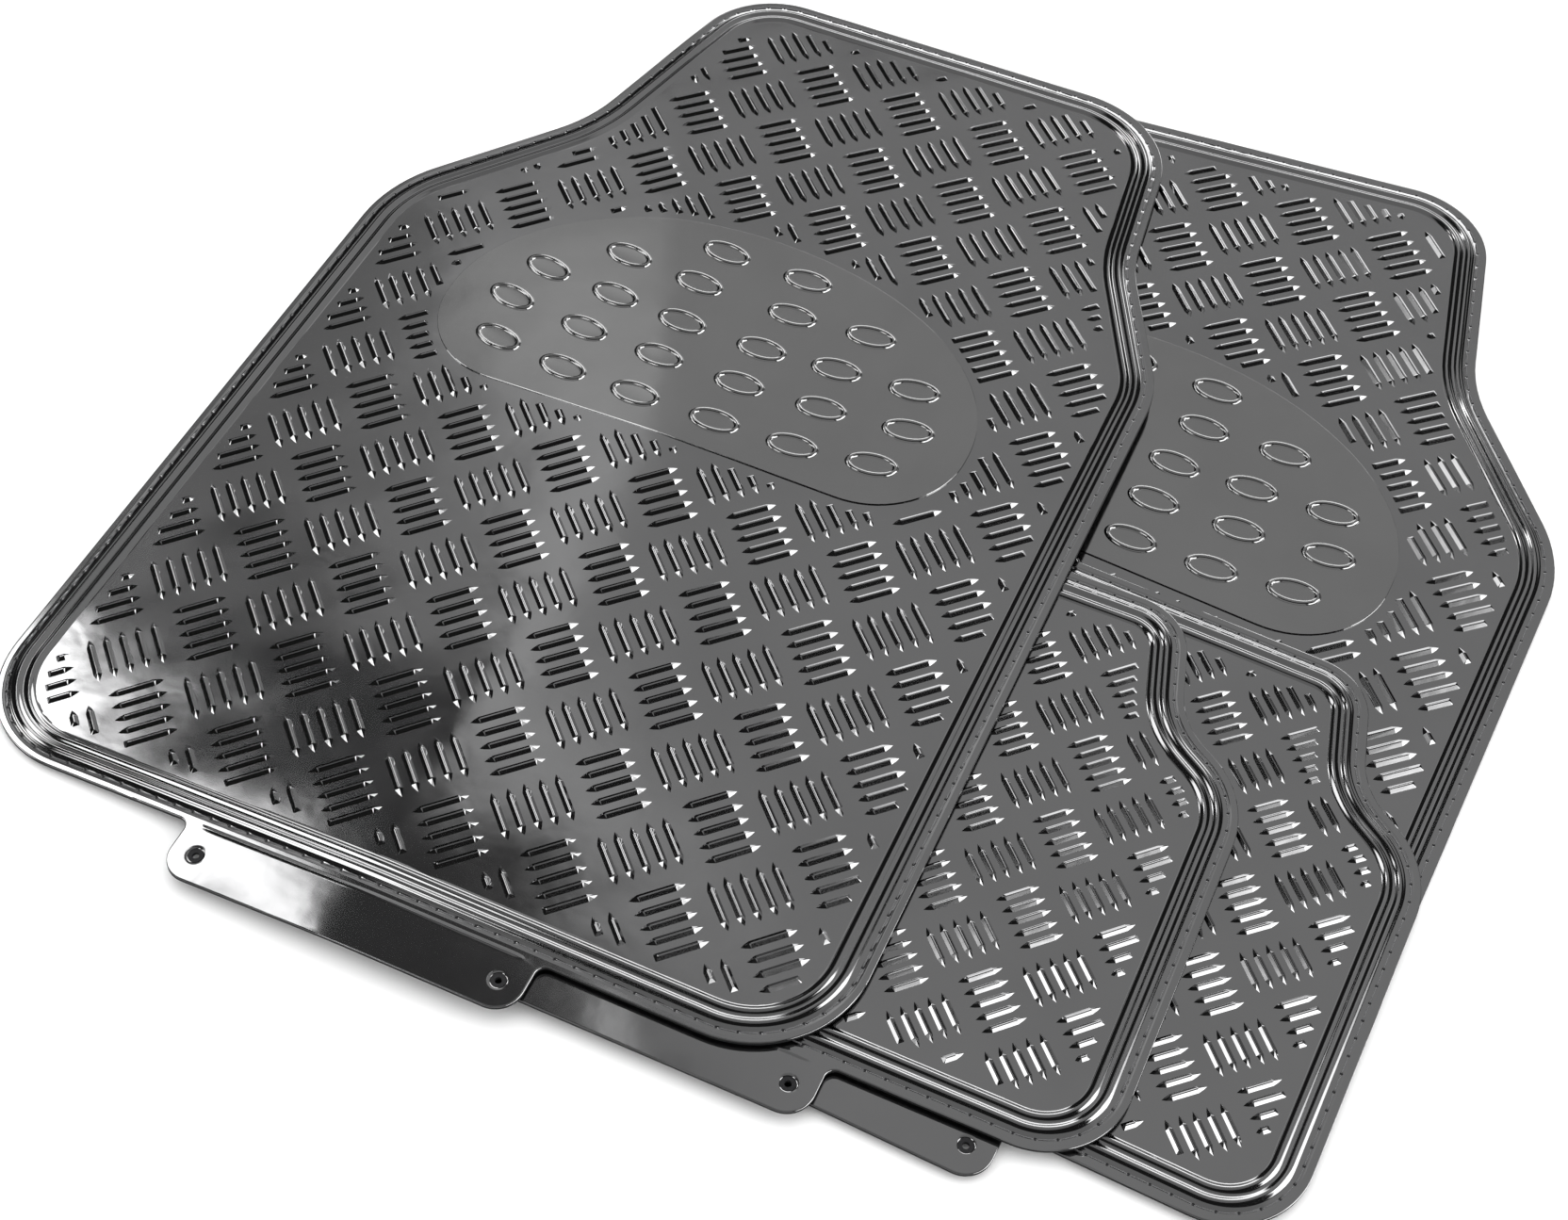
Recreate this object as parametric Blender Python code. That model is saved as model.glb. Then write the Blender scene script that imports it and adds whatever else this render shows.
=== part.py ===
"""Four-piece vehicle floor mat set: two handed front mats with heel pads and two rear mats, in a fanned stack.

Every mat is a sewn laminate. From the floor up it holds a black backing with a raised rim, a felt core
in the pocket of the backing, a metallised tread sheet with two border beads, and a lockstitch seam
(needle thread on top, bobbin thread in a groove underneath). Each mat has an anchor flange with two
punched holes on its lower (-Y) edge. The front mats carry a heel pad.

Metres, +Z up, floor at z = 0. The origin is on the floor under the middle of the stack. X runs to the
right along the front left mat's lower edge, Y runs up that mat towards its narrow end. Each mat's own
coordinates start at the middle of its lower edge.
"""

import math
from collections import namedtuple

import bmesh
import bpy
from mathutils import Matrix, Vector

MM = 0.001

# Front mat outline. Outer and inner are the two long sides; shoulders and waists are (x, y) off the middle line.
FRONT_HALF_WIDTH = 220 * MM
FRONT_LENGTH = 646 * MM
FRONT_FOOT_RADIUS = 55 * MM
FRONT_WAIST_RADIUS = 86 * MM
OUTER_SHOULDER = (FRONT_HALF_WIDTH, 408 * MM)
OUTER_SHOULDER_RADIUS = 77 * MM
OUTER_WAIST = (142 * MM, 501 * MM)
OUTER_TOP_X = 108 * MM
OUTER_TOP_RADIUS = 48 * MM
INNER_SHOULDER = (FRONT_HALF_WIDTH, 438 * MM)
INNER_SHOULDER_RADIUS = 67 * MM
INNER_WAIST = (178 * MM, 522 * MM)
INNER_TOP_X = 162 * MM
INNER_TOP_RADIUS = 62 * MM
# How far the (outer, inner) top corners stand beyond FRONT_LENGTH.
LEFT_TOP_SHIFTS = (-1 * MM, 3 * MM)
RIGHT_TOP_SHIFTS = (-6 * MM, -48 * MM)

# Rear mat outline, the same on both sides: right-hand corners from the foot up, as (x, y, fillet radius).
REAR_HALF_WIDTH = 210 * MM
REAR_SIDE = [
    (REAR_HALF_WIDTH, 0, 40 * MM),
    (REAR_HALF_WIDTH, 207 * MM, 50 * MM),
    (167 * MM, 235 * MM, 42 * MM),
    (150 * MM, 297 * MM, 31 * MM),
]

# Anchor flange, with one punched hole near each end.
FLANGE_HALF_WIDTH = 88.5 * MM
FLANGE_DEPTH = 28 * MM
FLANGE_CORNER_RADIUS = 13 * MM
FLANGE_ROOT_RADIUS = 5 * MM
HOLE_X = 76 * MM
HOLE_Y = -14.5 * MM
HOLE_RADIUS = 3.6 * MM
HOLE_SIDES = 14
HOLE_START = 0.3  # first vertex's turn from +X, as a share of one side

# Heel pad: a half ellipse over a bar with rounded lower corners.
PAD_HALF_WIDTH = 148 * MM
PAD_RISE = 100 * MM
PAD_CENTRE_Y = 352 * MM
PAD_DROP = 55 * MM
PAD_CORNER_RADIUS = 50 * MM
PAD_ARC_STEPS = 24
PAD_CORNER_STEPS = 8

# Layers, as heights above the surface the mat lies on.
LAYER_GAP = 0.3 * MM
BACKING_TOP = 1.5 * MM
POCKET_FLOOR = 0.7 * MM
CORE_BOTTOM = POCKET_FLOOR + LAYER_GAP
CORE_TOP = CORE_BOTTOM + 0.5 * MM
SHEET_BOTTOM = BACKING_TOP + LAYER_GAP
SHEET_TOP = SHEET_BOTTOM + 0.5 * MM
PAD_BOTTOM = SHEET_TOP + LAYER_GAP
PAD_TOP = PAD_BOTTOM + 0.4 * MM
THREAD_HEIGHT = 0.4 * MM
GROOVE_DEPTH = 0.8 * MM
NEEDLE_BOTTOM = SHEET_TOP + LAYER_GAP
BOBBIN_TOP = GROOVE_DEPTH - LAYER_GAP

# Border, as distances in from the mat's edge.
SEAM_INSET = 4.8 * MM
THREAD_WIDTH = 0.8 * MM
GROOVE_WIDTH = 1.8 * MM
BAND_INSET = 7.0 * MM
POCKET_INSET = 7.4 * MM
CORE_INSET = 8.0 * MM
# The two raised beads inside the flat band: (inset, height above the sheet).
BEAD_PROFILE = (
    (8.4 * MM, 1.5 * MM),
    (10.6 * MM, 1.5 * MM),
    (12.2 * MM, 0.4 * MM),
    (13.8 * MM, 1.5 * MM),
    (16.2 * MM, 1.5 * MM),
    (18.0 * MM, 0.0),
)

# How far the cutters reach past the backing: the pocket's upwards, the groove's downwards.
POCKET_OVERRUN = 2 * MM
GROOVE_OVERRUN = 1 * MM

# Place of each mat: middle of its lower edge, turn about Z, and number of mats under it.
# The plan is laid out from the middle of the front left mat's lower edge; the origin is at PLAN_CENTRE.
Place = namedtuple("Place", "x y turn level")
PLAN_CENTRE = (109 * MM, 313 * MM)
STACK_STEP = 4.15 * MM
PLACES = {
    "front_right": Place(197.5 * MM, 32 * MM, math.radians(-3.4), 0),
    "rear_right": Place(210.5 * MM, 21.5 * MM, math.radians(-2.4), 1),
    "rear_left": Place(131.8 * MM, 10.5 * MM, 0.0, 2),
    "front_left": Place(0.0, 0.0, 0.0, 3),
}

# The two upper mats slope down from the stack. Start and end of each slope on the plan:
# across X to the floor for both, and along Y by FALL_LEVELS mats for the front left mat.
REAR_SLOPE = (-80 * MM, 0.0)
FRONT_SLOPE = (-FRONT_HALF_WIDTH, 0.0)
FRONT_FALL = (309 * MM, FRONT_LENGTH)
FALL_LEVELS = 2

ARC_STEP = math.radians(13)  # largest turn of one segment of a fillet
WELD_DISTANCE = 1e-5
TOLERANCE = 1e-6
PLAN_DIGITS = 6  # decimals used to match vertices with outline points
EMPTY_SIZE = 50 * MM


# Scene

def clear_scene():
    for obj in list(bpy.data.objects):
        bpy.data.objects.remove(obj, do_unlink=True)
    for mesh in list(bpy.data.meshes):
        bpy.data.meshes.remove(mesh)


def new_collection(name):
    made = bpy.data.collections.new(name)
    bpy.context.scene.collection.children.link(made)
    return made


# Lie of the mats

def ramp(value, start, end):
    return min(1.0, max(0.0, (value - start) / (end - start)))


def lie_height(mat, x, y):
    """Height of the surface that a mat lies on, at a point of the plan."""
    full = PLACES[mat].level * STACK_STEP
    if mat == "rear_left":
        return full * ramp(x, *REAR_SLOPE)
    if mat == "front_left":
        across = full * ramp(x, *FRONT_SLOPE)
        along = full - FALL_LEVELS * STACK_STEP * ramp(y, *FRONT_FALL)
        return min(across, along)
    return full


def bend_planes(mat):
    """Vertical planes, as a point and a normal, on which a mat changes slope."""
    if mat == "rear_left":
        return [(Vector((REAR_SLOPE[1], 0, 0)), Vector((1, 0, 0)))]
    if mat == "front_left":
        crest = Vector((FRONT_SLOPE[1], FRONT_FALL[0], 0))
        # The two slopes are equally high on a line from the crest to the far (+Y) end.
        reach = (FRONT_SLOPE[1] - FRONT_SLOPE[0]) * FALL_LEVELS / PLACES[mat].level
        fall = FRONT_FALL[1] - FRONT_FALL[0]
        return [
            (crest, Vector((1, 0, 0))),
            (crest, Vector((0, 1, 0))),
            (crest, Vector((fall, reach, 0)).normalized()),
        ]
    return []


# Outlines: corners are (x, y, fillet radius), counter-clockwise

def mirrored(corners):
    return [(-x, y, radius) for x, y, radius in reversed(corners)]


def front_corners(top_shifts):
    """Left-handed front outline, with the outer side at -X."""
    outer_shift, inner_shift = top_shifts
    return [
        (-FRONT_HALF_WIDTH, 0, FRONT_FOOT_RADIUS),
        (FRONT_HALF_WIDTH, 0, FRONT_FOOT_RADIUS),
        (*INNER_SHOULDER, INNER_SHOULDER_RADIUS),
        (*INNER_WAIST, FRONT_WAIST_RADIUS),
        (INNER_TOP_X, FRONT_LENGTH + inner_shift, INNER_TOP_RADIUS),
        (-OUTER_TOP_X, FRONT_LENGTH + outer_shift, OUTER_TOP_RADIUS),
        (-OUTER_WAIST[0], OUTER_WAIST[1], FRONT_WAIST_RADIUS),
        (-OUTER_SHOULDER[0], OUTER_SHOULDER[1], OUTER_SHOULDER_RADIUS),
    ]


def with_flange(corners):
    """The outline with the anchor flange let into its lower edge."""
    half = FLANGE_HALF_WIDTH
    flange = [
        (-half, 0, FLANGE_ROOT_RADIUS),
        (-half, -FLANGE_DEPTH, FLANGE_CORNER_RADIUS),
        (half, -FLANGE_DEPTH, FLANGE_CORNER_RADIUS),
        (half, 0, FLANGE_ROOT_RADIUS),
    ]
    right_foot = next(i for i, (x, y, _) in enumerate(corners) if y == 0 and x > 0)
    return corners[:right_foot] + flange + corners[right_foot:]


def left_normal(direction):
    return Vector((-direction.y, direction.x))


def outline(corners, inset=0.0):
    """Points of a filleted polygon, moved in by inset. Every inset gives the same number of points."""
    points = []
    for i, (x, y, fillet) in enumerate(corners):
        before = Vector(corners[i - 1][:2])
        here = Vector((x, y))
        after = Vector(corners[(i + 1) % len(corners)][:2])
        way_in = (here - before).normalized()
        way_out = (after - here).normalized()
        normal_in = left_normal(way_in)
        normal_out = left_normal(way_out)
        turn = math.atan2(way_in.x * way_out.y - way_in.y * way_out.x, way_in.dot(way_out))
        # An inset shrinks the fillet of a convex corner and widens that of a hollow one.
        side = 1 if turn > 0 else -1
        radius = fillet - side * inset
        corner = here + (normal_in + normal_out) * (inset / (1 + normal_in.dot(normal_out)))
        start = corner - way_in * (radius * math.tan(abs(turn) / 2))
        centre = start + normal_in * (side * radius)
        steps = max(2, math.ceil(abs(turn) / ARC_STEP))
        for k in range(steps + 1):
            points.append(centre + Matrix.Rotation(turn * k / steps, 2) @ (start - centre))
    return points


def strip_loops(corners, inset, width):
    """Outer and inner loop of a strip that runs round the mat, centred on inset."""
    return [outline(corners, inset - width / 2), outline(corners, inset + width / 2)]


def flange_holes():
    angles = [2 * math.pi * (k + HOLE_START) / HOLE_SIDES for k in range(HOLE_SIDES)]
    return [
        [Vector((x + HOLE_RADIUS * math.cos(a), HOLE_Y + HOLE_RADIUS * math.sin(a))) for a in angles]
        for x in (-HOLE_X, HOLE_X)
    ]


def pad_outline():
    points = []
    for k in range(PAD_ARC_STEPS + 1):
        angle = math.pi * k / PAD_ARC_STEPS
        x = PAD_HALF_WIDTH * math.cos(angle)
        points.append(Vector((x, PAD_CENTRE_Y + PAD_RISE * math.sin(angle))))
    corner_y = PAD_CENTRE_Y - PAD_DROP + PAD_CORNER_RADIUS
    for side, first in ((-1, math.pi), (1, 1.5 * math.pi)):
        centre = Vector((side * (PAD_HALF_WIDTH - PAD_CORNER_RADIUS), corner_y))
        for k in range(PAD_CORNER_STEPS + 1):
            angle = first + 0.5 * math.pi * k / PAD_CORNER_STEPS
            spoke = Vector((math.cos(angle), math.sin(angle)))
            points.append(centre + PAD_CORNER_RADIUS * spoke)
    return points


# Mesh tools

def weld(mesh):
    bm = bmesh.new()
    bm.from_mesh(mesh)
    bmesh.ops.remove_doubles(bm, verts=bm.verts, dist=WELD_DISTANCE)
    bmesh.ops.recalc_face_normals(bm, faces=bm.faces)
    bm.to_mesh(mesh)
    bm.free()


def evaluated_mesh(obj):
    """A new mesh of obj as it stands after its curve fill or modifiers."""
    bpy.context.view_layer.update()
    graph = bpy.context.evaluated_depsgraph_get()
    return bpy.data.meshes.new_from_object(obj.evaluated_get(graph))


def plate(name, loops, bottom, top, into):
    """A flat plate from a filled 2D curve. Loops inside the first one are openings."""
    curve = bpy.data.curves.new(name, "CURVE")
    curve.dimensions = "2D"
    curve.fill_mode = "BOTH"
    curve.extrude = (top - bottom) / 2
    for loop in loops:
        spline = curve.splines.new("POLY")
        spline.points.add(len(loop) - 1)
        for point, spot in zip(spline.points, loop):
            point.co = (spot.x, spot.y, 0, 1)
        spline.use_cyclic_u = True
    drawn = bpy.data.objects.new(name + "_curve", curve)
    into.objects.link(drawn)
    drawn.location.z = (top + bottom) / 2
    mesh = evaluated_mesh(drawn)
    mesh.transform(drawn.matrix_world)
    bpy.data.objects.remove(drawn, do_unlink=True)
    bpy.data.curves.remove(curve)
    mesh.name = name
    weld(mesh)
    obj = bpy.data.objects.new(name, mesh)
    into.objects.link(obj)
    return obj


def cut(obj, tool):
    """Cuts tool from obj with an exact Boolean and keeps the result as obj's mesh."""
    tool.hide_render = True
    tool.display_type = "WIRE"
    modifier = obj.modifiers.new("cut", "BOOLEAN")
    modifier.operation = "DIFFERENCE"
    modifier.solver = "EXACT"
    modifier.object = tool
    mesh = evaluated_mesh(obj)
    obj.modifiers.clear()
    old = obj.data
    obj.data = mesh
    bpy.data.meshes.remove(old)
    mesh.name = obj.name
    weld(mesh)


def plan_key(point):
    return (round(point.x, PLAN_DIGITS), round(point.y, PLAN_DIGITS))


def add_beads(obj, corners):
    """Turns a flat ring into a tread sheet: closes its opening and raises the two border beads."""
    bm = bmesh.new()
    bm.from_mesh(obj.data)
    opening = {plan_key(p) for p in outline(corners, BAND_INSET)}
    inner = {v for v in bm.verts if plan_key(v.co) in opening}
    wall = [f for f in bm.faces if abs(f.normal.z) < 0.5 and all(v in inner for v in f.verts)]
    bmesh.ops.delete(bm, geom=wall, context="FACES")
    # The top is filled last, so its face is the field that the beads are inset from.
    for level in (SHEET_BOTTOM, SHEET_TOP):
        rim = [
            e for e in bm.edges
            if e.is_boundary and all(abs(v.co.z - level) < TOLERANCE for v in e.verts)
        ]
        field = bmesh.ops.edgeloop_fill(bm, edges=rim)["faces"]
    bmesh.ops.recalc_face_normals(bm, faces=bm.faces)
    inset, height = BAND_INSET, 0.0
    for next_inset, next_height in BEAD_PROFILE:
        bmesh.ops.inset_region(
            bm,
            faces=field,
            thickness=next_inset - inset,
            depth=next_height - height,
            use_even_offset=True,
            use_boundary=True,
        )
        inset, height = next_inset, next_height
    bm.to_mesh(obj.data)
    bm.free()


def drape(obj, mat):
    """Bends a flat piece over the mats under it. The piece stays in its own mat's coordinates."""
    spot = PLACES[mat]
    to_plan = Matrix.Translation((spot.x, spot.y, 0)) @ Matrix.Rotation(spot.turn, 4, "Z")
    from_plan = to_plan.inverted()
    bm = bmesh.new()
    bm.from_mesh(obj.data)
    for point, normal in bend_planes(mat):
        bmesh.ops.bisect_plane(
            bm,
            geom=bm.verts[:] + bm.edges[:] + bm.faces[:],
            dist=TOLERANCE,
            plane_co=from_plan @ point,
            plane_no=from_plan.to_3x3() @ normal,
        )
    for vert in bm.verts:
        on_plan = to_plan @ vert.co
        vert.co.z += lie_height(mat, on_plan.x, on_plan.y)
    bmesh.ops.triangulate(bm, faces=bm.faces[:])
    bmesh.ops.recalc_face_normals(bm, faces=bm.faces)
    bm.to_mesh(obj.data)
    bm.free()


# Materials

def new_material(name, colour, roughness, metallic=0.0, coat=0.0):
    material = bpy.data.materials.new(name)
    material.use_nodes = True
    shader = material.node_tree.nodes["Principled BSDF"]
    shader.inputs["Base Color"].default_value = (*colour, 1)
    shader.inputs["Roughness"].default_value = roughness
    shader.inputs["Metallic"].default_value = metallic
    shader.inputs["Coat Weight"].default_value = coat
    material.diffuse_color = (*colour, 1)
    return material


def make_materials():
    """Materials by the name of the piece that wears them."""
    return {
        "tread_sheet": new_material(
            "gunmetal_film", colour=(0.13, 0.13, 0.135), roughness=0.16, metallic=0.9, coat=0.3),
        "heel_pad": new_material(
            "gunmetal_pad", colour=(0.14, 0.14, 0.145), roughness=0.2, metallic=0.9, coat=0.2),
        "backing": new_material("black_backing", colour=(0.012, 0.012, 0.013), roughness=0.65),
        "felt_core": new_material("grey_felt", colour=(0.16, 0.16, 0.16), roughness=0.95),
        "needle_thread": new_material("seam_thread", colour=(0.05, 0.05, 0.055), roughness=0.45),
        "bobbin_thread": new_material("bobbin_thread", colour=(0.03, 0.03, 0.032), roughness=0.6),
    }


# Pieces of a mat

def make_backing(mat, corners, parts, cutters):
    """Flanged plate with a pocket in its top and a seam groove in its underside."""
    loops = [outline(with_flange(corners))] + flange_holes()
    backing = plate(mat + "_backing", loops, 0, BACKING_TOP, parts)
    pocket = plate(mat + "_pocket_cutter", [outline(corners, POCKET_INSET)],
                   POCKET_FLOOR, BACKING_TOP + POCKET_OVERRUN, cutters)
    cut(backing, pocket)
    groove = plate(mat + "_groove_cutter", strip_loops(corners, SEAM_INSET, GROOVE_WIDTH),
                   -GROOVE_OVERRUN, GROOVE_DEPTH, cutters)
    cut(backing, groove)
    return backing


def make_core(mat, corners, parts):
    return plate(mat + "_felt_core", [outline(corners, CORE_INSET)], CORE_BOTTOM, CORE_TOP, parts)


def make_sheet(mat, corners, parts):
    loops = [outline(with_flange(corners)), outline(corners, BAND_INSET)] + flange_holes()
    sheet = plate(mat + "_tread_sheet", loops, SHEET_BOTTOM, SHEET_TOP, parts)
    add_beads(sheet, corners)
    return sheet


def make_thread(name, corners, bottom, top, parts):
    return plate(name, strip_loops(corners, SEAM_INSET, THREAD_WIDTH), bottom, top, parts)


def make_pad(mat, parts):
    return plate(mat + "_heel_pad", [pad_outline()], PAD_BOTTOM, PAD_TOP, parts)


def make_lift(mat, parts):
    """The empty that carries a mat's pieces, on the floor at the middle of its lower edge."""
    place = PLACES[mat]
    lift = bpy.data.objects.new(mat + "_lift", None)
    lift.empty_display_size = EMPTY_SIZE
    lift.location = (place.x - PLAN_CENTRE[0], place.y - PLAN_CENTRE[1], 0)
    lift.rotation_euler = (0, 0, place.turn)
    parts.objects.link(lift)
    return lift


def build_mat(mat, corners, parts, cutters, materials, has_pad):
    lift = make_lift(mat, parts)
    pieces = {
        "backing": make_backing(mat, corners, parts, cutters),
        "felt_core": make_core(mat, corners, parts),
        "tread_sheet": make_sheet(mat, corners, parts),
        "needle_thread": make_thread(
            mat + "_needle_thread", corners, NEEDLE_BOTTOM, NEEDLE_BOTTOM + THREAD_HEIGHT, parts),
        "bobbin_thread": make_thread(
            mat + "_bobbin_thread", corners, BOBBIN_TOP - THREAD_HEIGHT, BOBBIN_TOP, parts),
    }
    if has_pad:
        pieces["heel_pad"] = make_pad(mat, parts)
    for kind, obj in pieces.items():
        drape(obj, mat)
        obj.data.materials.clear()
        obj.data.materials.append(materials[kind])
        obj.parent = lift


def main():
    clear_scene()
    parts = new_collection("floor_mat_set")
    cutters = new_collection("floor_mat_set_cutters")
    cutters.hide_render = True
    materials = make_materials()
    left = front_corners(LEFT_TOP_SHIFTS)
    right = mirrored(front_corners(RIGHT_TOP_SHIFTS))
    rear = REAR_SIDE + mirrored(REAR_SIDE)
    for mat, corners, has_pad in (
        ("front_right", right, True),
        ("rear_right", rear, False),
        ("rear_left", rear, False),
        ("front_left", left, True),
    ):
        build_mat(mat, corners, parts, cutters, materials, has_pad)


main()
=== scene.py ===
"""A set of four car floor mats, laid over one another: embossed metallised film on a nubbed
black backing, sewn round the edge, with a ringed heel pad on the front pair.

The set lies flat on the floor (z = 0), with the mats' flanged ends toward -Y. In a mat's own
coordinates the origin is the middle of that end, x runs across, y along and z up.
"""
import math
from collections import namedtuple

import bpy
import numpy as np
from mathutils import Matrix, Vector
from mathutils.geometry import delaunay_2d_cdt


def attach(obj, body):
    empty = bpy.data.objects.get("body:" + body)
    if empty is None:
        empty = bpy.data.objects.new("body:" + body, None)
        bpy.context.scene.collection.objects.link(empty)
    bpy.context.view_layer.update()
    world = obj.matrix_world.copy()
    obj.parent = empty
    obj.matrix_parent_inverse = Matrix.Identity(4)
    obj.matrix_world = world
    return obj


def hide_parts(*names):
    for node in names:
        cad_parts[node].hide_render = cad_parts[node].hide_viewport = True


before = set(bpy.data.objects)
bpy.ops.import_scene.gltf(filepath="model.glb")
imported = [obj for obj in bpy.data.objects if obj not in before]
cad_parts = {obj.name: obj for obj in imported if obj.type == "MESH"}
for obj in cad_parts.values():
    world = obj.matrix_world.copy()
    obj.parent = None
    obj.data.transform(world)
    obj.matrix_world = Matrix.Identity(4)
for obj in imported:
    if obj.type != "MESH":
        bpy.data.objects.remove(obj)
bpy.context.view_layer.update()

MM = 0.001
DIAGONAL = math.sqrt(0.5)

# ------------------------------------------------------------------ design, in metres
PLAN_CENTRE = (109 * MM, 313 * MM)
STACK_STEP = 4.15 * MM
# Origin and turn of each mat, from the lowest in the stack to the highest.
PLACES = {
    "front_right": ((197.5 * MM, 32 * MM), math.radians(-3.4)),
    "rear_right": ((210.5 * MM, 21.5 * MM), math.radians(-2.4)),
    "rear_left": ((131.8 * MM, 10.5 * MM), 0.0),
    "front_left": ((0.0, 0.0), 0.0),
}
MATS = list(PLACES)


def mirrored(corners):
    return [(-x, y, fillet) for x, y, fillet in reversed(corners)]


def front_corners(far_outer, far_inner):
    """Corners (x, y, fillet) of a front left mat, counterclockwise. The outer side is -x."""
    rows = [
        (-220, 0, 55),
        (220, 0, 55),
        (220, 438, 67),
        (178, 522, 86),
        (162, 646 + far_inner, 62),
        (-108, 646 + far_outer, 48),
        (-142, 501, 86),
        (-220, 408, 77),
    ]
    return [(x * MM, y * MM, fillet * MM) for x, y, fillet in rows]


def rear_corners():
    rows = ((210, 0, 40), (210, 207, 50), (167, 235, 42), (150, 297, 31))
    right = [(x * MM, y * MM, fillet * MM) for x, y, fillet in rows]
    return right + mirrored(right)


CORNERS = {
    "front_left": front_corners(-1, 3),
    "front_right": mirrored(front_corners(-6, -48)),
    "rear_left": rear_corners(),
    "rear_right": rear_corners(),
}
FLANGE_HALF, FLANGE_DEPTH = 88.5 * MM, 28 * MM
FLANGE_CORNER, FLANGE_ROOT = 13 * MM, 5 * MM
HOLES = ((-76 * MM, -14.5 * MM), (76 * MM, -14.5 * MM))
HOLE_RADIUS = 3.6 * MM
FILM_LOW, FILM_TOP = 1.82 * MM, 2.3 * MM
SEAM_INSET = 4.8 * MM
STITCH_PITCH = 9.6 * MM


def with_flange(corners):
    flange = [
        (-FLANGE_HALF, 0, FLANGE_ROOT),
        (-FLANGE_HALF, -FLANGE_DEPTH, FLANGE_CORNER),
        (FLANGE_HALF, -FLANGE_DEPTH, FLANGE_CORNER),
        (FLANGE_HALF, 0, FLANGE_ROOT),
    ]
    at = next(i for i, (x, y, _) in enumerate(corners) if y == 0 and x > 0)
    return corners[:at] + flange + corners[at:]


def outline(corners, inset=0.0, arc=math.radians(4.5), chord=9 * MM):
    """Filleted polygon moved in by inset. Every inset gives the same number of points."""
    arcs = []
    count = len(corners)
    for i in range(count):
        before, here, after = (Vector(corners[j % count][:2]) for j in (i - 1, i, i + 1))
        arriving, leaving = (here - before).normalized(), (after - here).normalized()
        normal_in = Vector((-arriving.y, arriving.x))
        normal_out = Vector((-leaving.y, leaving.x))
        cross = arriving.x * leaving.y - arriving.y * leaving.x
        turn = math.atan2(cross, arriving.dot(leaving))
        side = 1 if turn > 0 else -1
        fillet = corners[i][2]
        radius = fillet - side * inset
        corner = here + (normal_in + normal_out) * (inset / (1 + normal_in.dot(normal_out)))
        start = corner - arriving * (radius * math.tan(abs(turn) / 2))
        centre = start + normal_in * (side * radius)
        steps = max(3, math.ceil(abs(turn) / arc))
        spots = [
            centre + Matrix.Rotation(turn * k / steps, 2) @ (start - centre)
            for k in range(steps + 1)
        ]
        # Where the fillet begins and ends without inset, which sets the number of points.
        reach = fillet * math.tan(abs(turn) / 2)
        arcs.append((spots, here - arriving * reach, here + leaving * reach))
    points = []
    for i, (spots, _, fillet_end) in enumerate(arcs):
        next_spots, next_begin, _ = arcs[(i + 1) % count]
        points += [(p.x, p.y) for p in spots]
        pieces = max(1, round((next_begin - fillet_end).length / chord))
        points += [tuple(spots[-1].lerp(next_spots[0], k / pieces)) for k in range(1, pieces)]
    return np.array(points)


# The pad's far edge is half an ellipse about PAD_Y, its near edge straight with round corners.
PAD_HALF, PAD_RISE, PAD_Y, PAD_DROP, PAD_CORNER = 148 * MM, 100 * MM, 352 * MM, 55 * MM, 50 * MM
PAD_MIN_GAP = 0.3 * MM


def pad_outline(grow=0.0):
    points = []
    for k in range(73):
        a = math.pi * k / 72
        x = (PAD_HALF + grow) * math.cos(a)
        points.append((x, PAD_Y + (PAD_RISE + grow) * math.sin(a)))
    radius = PAD_CORNER + grow
    for side, first in ((-1, math.pi), (1, 1.5 * math.pi)):
        corner_x = side * (PAD_HALF - PAD_CORNER)
        corner_y = PAD_Y - PAD_DROP + PAD_CORNER
        for k in range(19):
            a = first + 0.5 * math.pi * k / 18
            points.append((corner_x + radius * math.cos(a), corner_y + radius * math.sin(a)))
        if side < 0:
            for k in range(1, 20):
                points.append((corner_x - 2 * corner_x * k / 20, corner_y - PAD_CORNER - grow))
    clean = [points[0]]
    for p in points[1:]:
        if math.dist(p, clean[-1]) > PAD_MIN_GAP and math.dist(p, points[0]) > PAD_MIN_GAP:
            clean.append(p)
    return np.array(clean)


# ------------------------------------------------------------------ how each mat lies in the stack
def kink(value, at, soft):
    """max(0, value - at) with the corner rounded over at +- soft."""
    past = value - at
    rounded = (past + soft) ** 2 / (4 * soft)
    return np.where(past < -soft, 0.0, np.where(past > soft, past, rounded))


def lie(mat, x, y):
    """Height of the mat's underside. The left mats slope down beyond the ones below them."""
    if mat == "front_right":
        return np.zeros_like(x)
    if mat == "rear_right":
        return np.full_like(x, STACK_STEP)
    if mat == "rear_left":
        return 2 * STACK_STEP * (1 - kink(-x, 0.0, 17 * MM) / (80 * MM))
    across = 3 * STACK_STEP * (1 - kink(-x, 0.0, 19 * MM) / (220 * MM))
    along = 3 * STACK_STEP - 2 * STACK_STEP * kink(y, 309 * MM, 36 * MM) / (337 * MM)
    # The lower of the two slopes, with a soft crease between them.
    soft = 0.7 * MM
    blend = np.clip(0.5 + 0.5 * (along - across) / soft, 0, 1)
    return along * (1 - blend) + across * blend - soft * blend * (1 - blend) * 0.5


def place(mat, points):
    """Mat coordinates to the scene, laid over the stack."""
    (origin_x, origin_y), turn = PLACES[mat]
    cos, sin = math.cos(turn), math.sin(turn)
    x = origin_x + cos * points[:, 0] - sin * points[:, 1]
    y = origin_y + sin * points[:, 0] + cos * points[:, 1]
    return np.c_[x - PLAN_CENTRE[0], y - PLAN_CENTRE[1], points[:, 2] + lie(mat, x, y)]


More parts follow.
